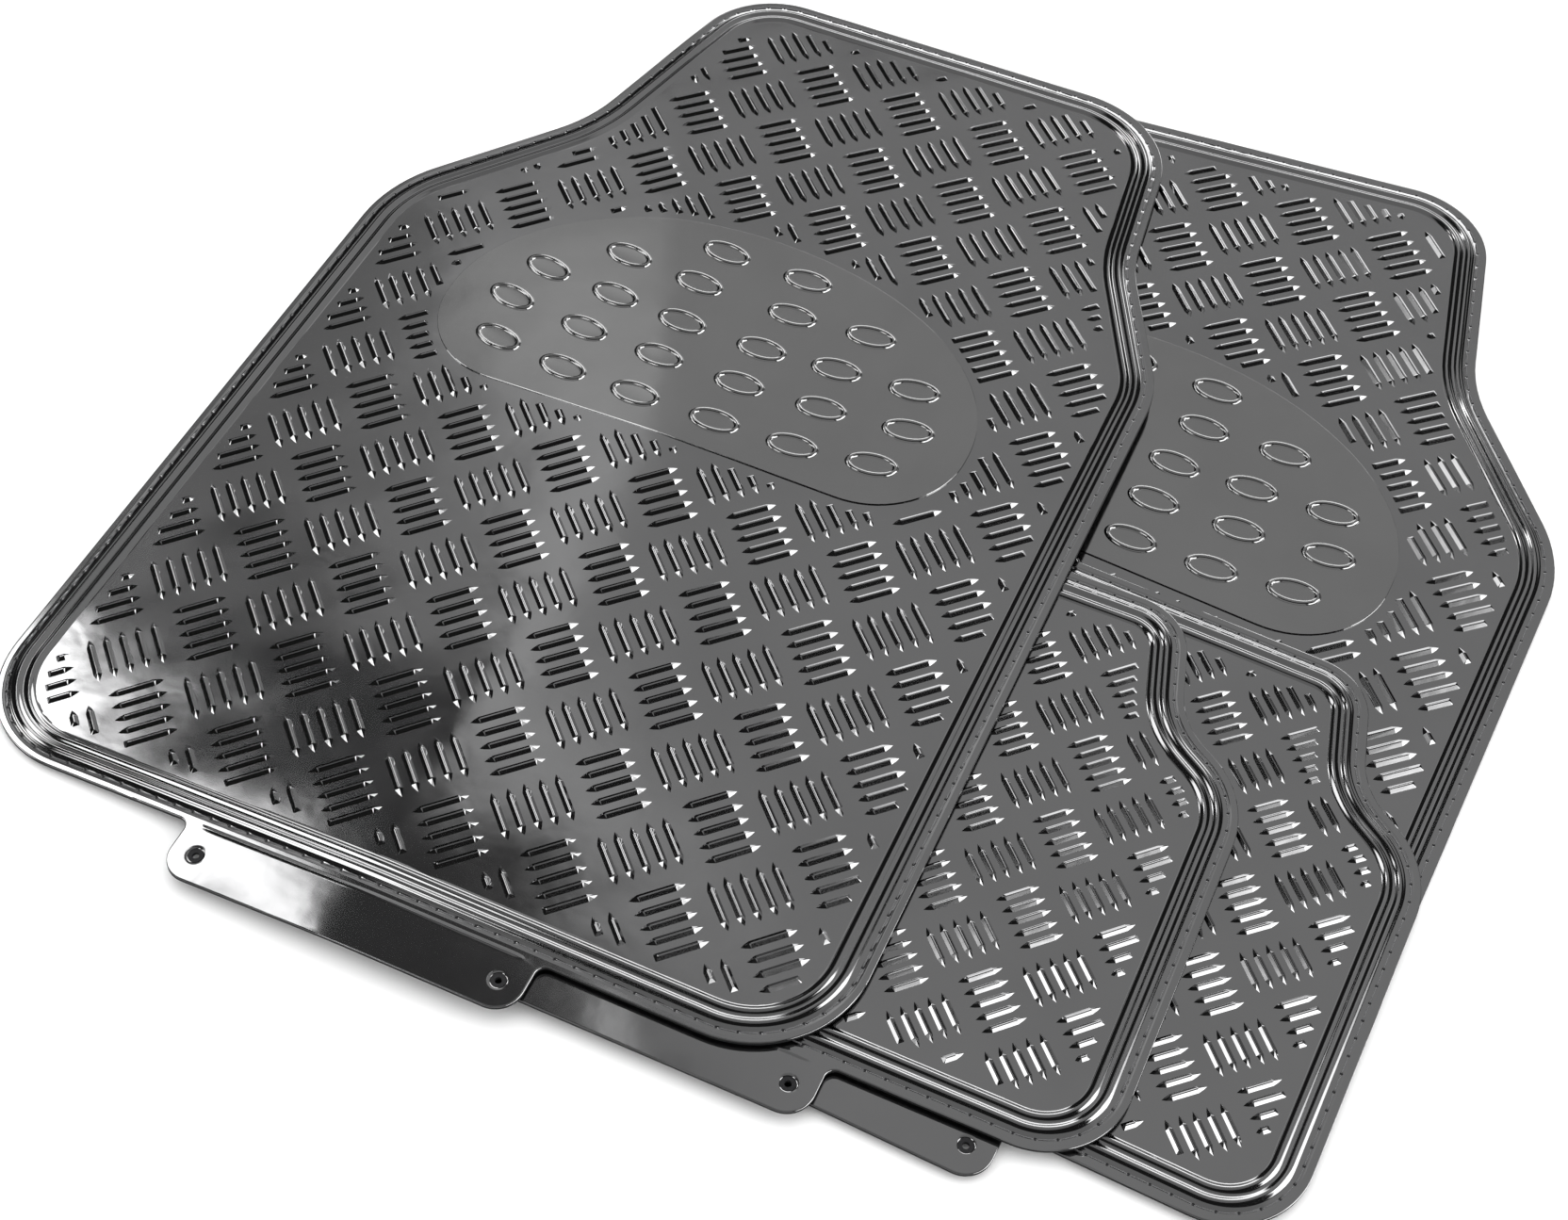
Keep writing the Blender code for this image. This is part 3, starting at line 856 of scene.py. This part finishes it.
def thread_material(name, dark, light):
    material, tree, shader = new_material(name)
    coords = object_coords(tree)
    ply = node(tree, "ShaderNodeTexWave", Scale=900.0, Distortion=0.6, wave_type="BANDS",
               bands_direction="DIAGONAL")
    tree.links.new(coords, ply.inputs["Vector"])
    fluff = noise(tree, coords, scale=1500.0)
    colour = ramp_colour(tree, ply.outputs["Fac"], [(0.1, dark), (0.7, light)])
    tree.links.new(colour, shader.inputs["Base Color"])
    roughness = remap(tree, fluff, source=(0.2, 0.8), target=(0.35, 0.6))
    tree.links.new(roughness, shader.inputs["Roughness"])
    shader.inputs["Sheen Weight"].default_value = 0.3
    twist = bump(tree, ply.outputs["Fac"], strength=0.6, distance=0.0001)
    normal = bump(tree, fluff, strength=0.3, distance=0.00005, normal=twist)
    tree.links.new(normal, shader.inputs["Normal"])
    return material


def felt_material():
    material, tree, shader = new_material("needled_felt")
    fibre = noise(tree, object_coords(tree), scale=500.0, detail=6.0, rough=0.7, distortion=2.0)
    stops = [(at, (grey,) * 3) for at, grey in ((0.3, 0.07), (0.55, 0.15), (0.8, 0.26))]
    tree.links.new(ramp_colour(tree, fibre, stops), shader.inputs["Base Color"])
    shader.inputs["Roughness"].default_value = 0.95
    tree.links.new(bump(tree, fibre, strength=0.7, distance=0.0003), shader.inputs["Normal"])
    return material


FILM = film_material("metallised_film", tint=(0.56, 0.56, 0.565), rough=0.085, grain=0.1)
PAD = film_material("metallised_pad_film", tint=(0.6, 0.6, 0.6), rough=0.11, grain=0.08)
BACK = backing_material()
THREAD = thread_material("seam_thread", dark=(0.03, 0.03, 0.032), light=(0.16, 0.16, 0.165))
BOBBIN = thread_material("bobbin_thread", dark=(0.012, 0.012, 0.013), light=(0.05, 0.05, 0.052))
FELT = felt_material()


# ------------------------------------------------------------------ the four mats
NEEDLE_ARCH = dict(level=FILM_TOP - 0.55 * MM, bow=0.55 * MM, radius=0.22 * MM, share=(0.045, 0.955))
BOBBIN_ARCH = dict(level=0.6 * MM, bow=-0.28 * MM, radius=0.24 * MM, share=(0.03, 0.97))


def dress(obj, mat, material, replaced):
    obj.data.materials.clear()
    obj.data.materials.append(material)
    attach(obj, mat)
    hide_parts(mat + replaced)


for mat in MATS:
    dress(build_film(mat), mat, FILM, "_tread_sheet")
    dress(build_backing(mat), mat, BACK, "_backing")
    needle = build_stitches(mat, "_needle_stitches", **NEEDLE_ARCH)
    dress(needle, mat, THREAD, "_needle_thread")
    bobbin = build_stitches(mat, "_bobbin_stitches", **BOBBIN_ARCH)
    dress(bobbin, mat, BOBBIN, "_bobbin_thread")
    if mat.startswith("front"):
        dress(build_pad(mat), mat, PAD, "_heel_pad")
    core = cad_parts[mat + "_felt_core"]
    core.data.materials.clear()
    core.data.materials.append(FELT)


# ------------------------------------------------------------------ floor
def build_floor():
    mesh = bpy.data.meshes.new("studio_floor")
    half = 9
    square = [(-half, -half, 0), (half, -half, 0), (half, half, 0), (-half, half, 0)]
    mesh.from_pydata(square, [], [(0, 1, 2, 3)])
    floor = link("studio_floor", mesh)
    floor.location.z = -0.0004
    material, tree, shader = new_material("studio_floor")
    pale, shaded = (0.93, 0.93, 0.93, 1), (0.2, 0.2, 0.2, 1)
    shader.inputs["Base Color"].default_value = pale
    shader.inputs["Roughness"].default_value = 0.9
    shader.inputs["Specular IOR Level"].default_value = 0.1
    # Pale to the eye, but a shaded room in the mats' mirror film.
    path = node(tree, "ShaderNodeLightPath")
    mix = node(tree, "ShaderNodeMix", data_type="RGBA")
    mix.inputs[6].default_value = pale
    mix.inputs[7].default_value = shaded
    tree.links.new(path.outputs["Is Glossy Ray"], mix.inputs[0])
    tree.links.new(mix.outputs[2], shader.inputs["Base Color"])
    mesh.materials.append(material)


build_floor()

# ------------------------------------------------------------------ room mirrored by the film
GREY = 0.235
ROOM_GLOW = 0.012
BACKDROP = 0.8
# Border, azimuth range, elevation range, softness of both, strength. Angles are in degrees.
# Azimuth is 0 at +Y and grows toward -X.
PANELS = (
    # Grey wall and ceiling, with a darker panel at the wall's left end.
    ("ragged", (-60, 37.5), (35.5, 68), (1.6, 3), GREY),
    ("ragged", (37, 62), (36, 46.5), (2.5, 2.5), GREY * 0.65),
    ("ragged", (37, 43.5), (46, 49.5), (2, 2.5), GREY * 0.8),
    ("plain", (27, 62), (44, 66), (3, 4), GREY * 0.12),
    # Lighter end of the wall beside the dark panel.
    ("ragged", (31, 37.5), (40, 58), (5, 6), GREY * 0.7),
    ("plain", (-200, 200), (68, 95), (4, 3), GREY * 0.7),
    # White strip low on the far side.
    ("plain", (-14, 30), (13, 33), (3, 2), 1.9),
    # White panels on the left, three small and two large.
    ("slanted", (51.7, 62), (45, 52.3), (1.4, 1.5), 3.0),
    ("plain", (48.2, 50.6), (51.6, 58), (1.6, 1.5), 2.4),
    ("plain", (27.8, 29.8), (61, 66), (1.2, 1.5), 0.8),
    ("plain", (75, 100), (35, 50), (3, 3), 1.7),
    ("plain", (107, 130), (22, 36), (3, 3), 2.2),
    # White bands on the right.
    ("plain", (-128, -105), (8, 34.3), (4, 2.5), 2.4),
    ("plain", (-105, -58), (8, 35.5), (4, 2.5), 2.4),
    ("plain", (-90, -60), (35.5, 50), (4, 3), 2.4),
    # Low grey skirting. The gap on the left keeps the bars' left sides dark.
    ("plain", (-62, 31), (1, 12), (4, 3), GREY * 0.9),
    ("plain", (110, 138), (2, 17), (4, 3), GREY * 0.8),
    # Low grey wall on the -Y side.
    ("plain", (138, 200), (3, 40), (4, 3), GREY * 0.9),
    ("plain", (-200, -136), (3, 40), (4, 3), GREY * 0.9),
    # Small window behind the camera, to the left, for the near ends of the bars.
    ("plain", (125, 150), (45, 58), (3, 3), 2.2),
)
RAGGED_WIDTH = 9.0
# Between these elevations the ragged borders slant, by degrees of azimuth per degree.
SLANT_FROM, SLANT_SPAN, SLANT = 54.5, 6.5, 1.75
# The slanted border: its share of raggedness, and its slant about an elevation.
CORNER_RAGGED, CORNER_LEVEL, CORNER_SLANT = 0.4, 49.0, 0.6


def calc(tree, operation, *values):
    made = node(tree, "ShaderNodeMath", operation=operation)
    for i, value in enumerate(values):
        if isinstance(value, (int, float)):
            made.inputs[i].default_value = value
        else:
            tree.links.new(value, made.inputs[i])
    return made.outputs[0]


def window(tree, value, limits, soft):
    """1 between the limits, falling to 0 over soft degrees at both ends."""
    low, high = limits
    rise = remap(tree, value, source=(low - soft / 2, low + soft / 2), target=(0, 1))
    fall = remap(tree, value, source=(high - soft / 2, high + soft / 2), target=(1, 0))
    return calc(tree, "MULTIPLY", rise, fall)


def build_world():
    world = bpy.data.worlds.new("studio")
    bpy.context.scene.world = world
    world.use_nodes = True
    tree = world.node_tree
    coords = node(tree, "ShaderNodeTexCoord").outputs["Generated"]
    split = node(tree, "ShaderNodeSeparateXYZ")
    tree.links.new(coords, split.inputs[0])
    x, y, z = split.outputs

    def add(a, b):
        return calc(tree, "ADD", a, b)

    def subtract(a, b):
        return calc(tree, "SUBTRACT", a, b)

    def times(a, b):
        return calc(tree, "MULTIPLY", a, b)

    to_degrees = 180 / math.pi
    elevation = times(calc(tree, "ARCSINE", z), to_degrees)
    azimuth = times(calc(tree, "ARCTAN2", times(x, -1.0), y), to_degrees)
    speckle = noise(tree, coords, scale=26.0, detail=4.0, rough=0.6)
    ragged = times(subtract(speckle, 0.5), RAGGED_WIDTH)
    above = calc(tree, "MAXIMUM", subtract(elevation, SLANT_FROM), 0.0)
    steep = calc(tree, "MINIMUM", above, SLANT_SPAN)
    lean = times(subtract(elevation, CORNER_LEVEL), CORNER_SLANT)
    borders = {
        "plain": azimuth,
        "ragged": add(add(azimuth, ragged), times(steep, SLANT)),
        "slanted": add(add(azimuth, times(ragged, CORNER_RAGGED)), lean),
    }
    total = None
    for border, azimuths, elevations, (soft_across, soft_up), strength in PANELS:
        across = window(tree, borders[border], azimuths, soft_across)
        upward = window(tree, elevation, elevations, soft_up)
        panel = times(times(across, upward), strength)
        total = add(panel, ROOM_GLOW) if total is None else add(total, panel)
    # The eye sees a plain pale backdrop; the film mirrors the room.
    seen = node(tree, "ShaderNodeLightPath").outputs["Is Camera Ray"]
    total = add(times(total, subtract(1.0, seen)), times(seen, BACKDROP))
    background = tree.nodes["Background"]
    tree.links.new(total, background.inputs["Strength"])
    background.inputs["Color"].default_value = (1, 1, 1, 1)


build_world()


# ------------------------------------------------------------------ lights and camera
def build_lights():
    """A rectangle overhead and a very soft sun, neither of them mirrored by the film."""
    overhead = bpy.data.lights.new("overhead", "AREA")
    overhead.shape = "RECTANGLE"
    overhead.size, overhead.size_y = 2.25, 1.9
    overhead.energy = 22
    made = link("overhead", overhead)
    location, target = Vector((0.125, -0.25, 2.4)), Vector((0.125, -0.25, 0))
    made.location = location
    made.rotation_mode = "QUATERNION"
    made.rotation_quaternion = (target - location).to_track_quat("-Z", "Y")
    made.visible_glossy = False

    sky = bpy.data.lights.new("sky", "SUN")
    sky.energy = 2.3
    sky.angle = math.radians(120)
    link("sky", sky).visible_glossy = False


def build_camera():
    data = bpy.data.cameras.new("camera")
    data.sensor_width = 36
    data.sensor_fit = "HORIZONTAL"
    data.lens = 57.066058
    data.clip_start = 0.05
    camera = link("camera", data)
    back = Vector((0.224, -0.56723, 0.79251)).normalized()
    up = Vector((-0.34534, 0.71422, 0.6088)).normalized()
    right = up.cross(back).normalized()
    up = back.cross(right).normalized()
    spot = (0.3717 - PLAN_CENTRE[0], -0.4556 - PLAN_CENTRE[1], 0.9605)
    axes = Matrix((right, up, back)).transposed().to_4x4()
    camera.matrix_world = Matrix.Translation(spot) @ axes
    bpy.context.scene.camera = camera


build_lights()
build_camera()
bpy.context.scene.view_settings.view_transform = "Standard"

bpy.context.view_layer.update()
